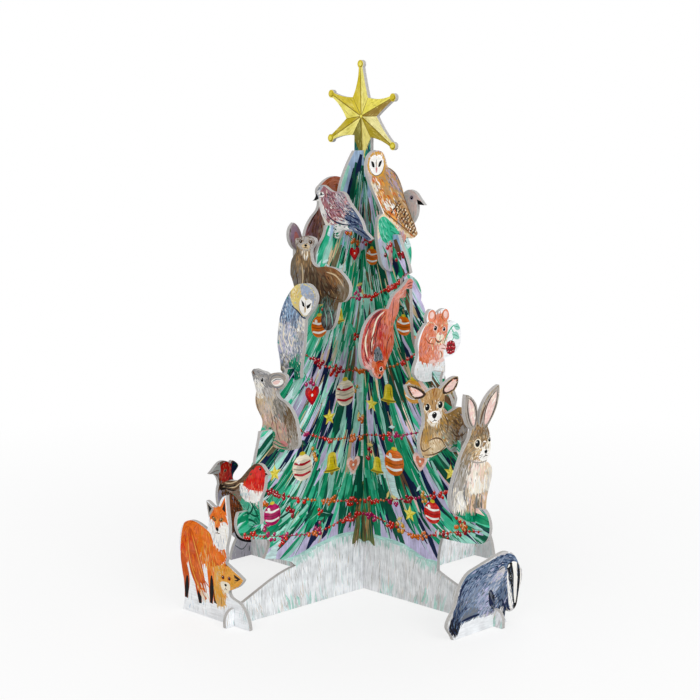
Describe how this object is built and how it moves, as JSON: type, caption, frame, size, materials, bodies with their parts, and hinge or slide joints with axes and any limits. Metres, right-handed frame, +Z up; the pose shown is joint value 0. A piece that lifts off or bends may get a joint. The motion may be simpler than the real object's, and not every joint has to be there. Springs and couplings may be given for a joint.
{
  "type": "pop-up advent calendar",
  "caption": "Free-standing card tree made of crossed slotted panels, with a star on top and slotted animal cards on the ledges of its branches.",
  "frame": {"origin": "on the floor, under the line where the two tree panels cross", "axes": "+Z up towards the star, X along one tree panel and Y along the other"},
  "size_m": [0.224, 0.224, 0.3201],
  "materials": {
    "tree_print": "printed matt card on grey board",
    "star_print": "printed matt card on grey board",
    "thrush_print": "printed matt card on grey board",
    "marten_print": "printed matt card on grey board",
    "blue_owl_print": "printed matt card on grey board",
    "mouse_print": "printed matt card on grey board",
    "robin_print": "printed matt card on grey board",
    "fox_print": "printed matt card on grey board",
    "barn_owl_print": "printed matt card on grey board",
    "squirrel_print": "printed matt card on grey board",
    "harvest_mouse_print": "printed matt card on grey board",
    "fawn_print": "printed matt card on grey board",
    "hare_print": "printed matt card on grey board",
    "badger_print": "printed matt card on grey board",
    "red_squirrel_print": "printed matt card on grey board",
    "rabbit_print": "printed matt card on grey board",
    "wren_print": "printed matt card on grey board",
    "pheasant_print": "printed matt card on grey board",
    "dove_print": "printed matt card on grey board",
    "finch_print": "printed matt card on grey board",
    "dormouse_print": "printed matt card on grey board",
    "stoat_print": "printed matt card on grey board",
    "hedgehog_print": "printed matt card on grey board"
  },
  "bodies": {
    "root": {"bottom_slot_panel": "tree_print", "top_slot_panel": "tree_print", "star_topper": "star_print", "thrush_card": "thrush_print", "marten_card": "marten_print", "blue_owl_card": "blue_owl_print", "mouse_card": "mouse_print", "robin_card": "robin_print", "fox_card": "fox_print", "barn_owl_card": "barn_owl_print", "squirrel_card": "squirrel_print", "harvest_mouse_card": "harvest_mouse_print", "fawn_card": "fawn_print", "hare_card": "hare_print", "badger_card": "badger_print", "red_squirrel_card": "red_squirrel_print", "rabbit_card": "rabbit_print", "wren_card": "wren_print", "pheasant_card": "pheasant_print", "dove_card": "dove_print", "finch_card": "finch_print", "dormouse_card": "dormouse_print", "stoat_card": "stoat_print", "hedgehog_card": "hedgehog_print"}
  },
  "joints": []
}
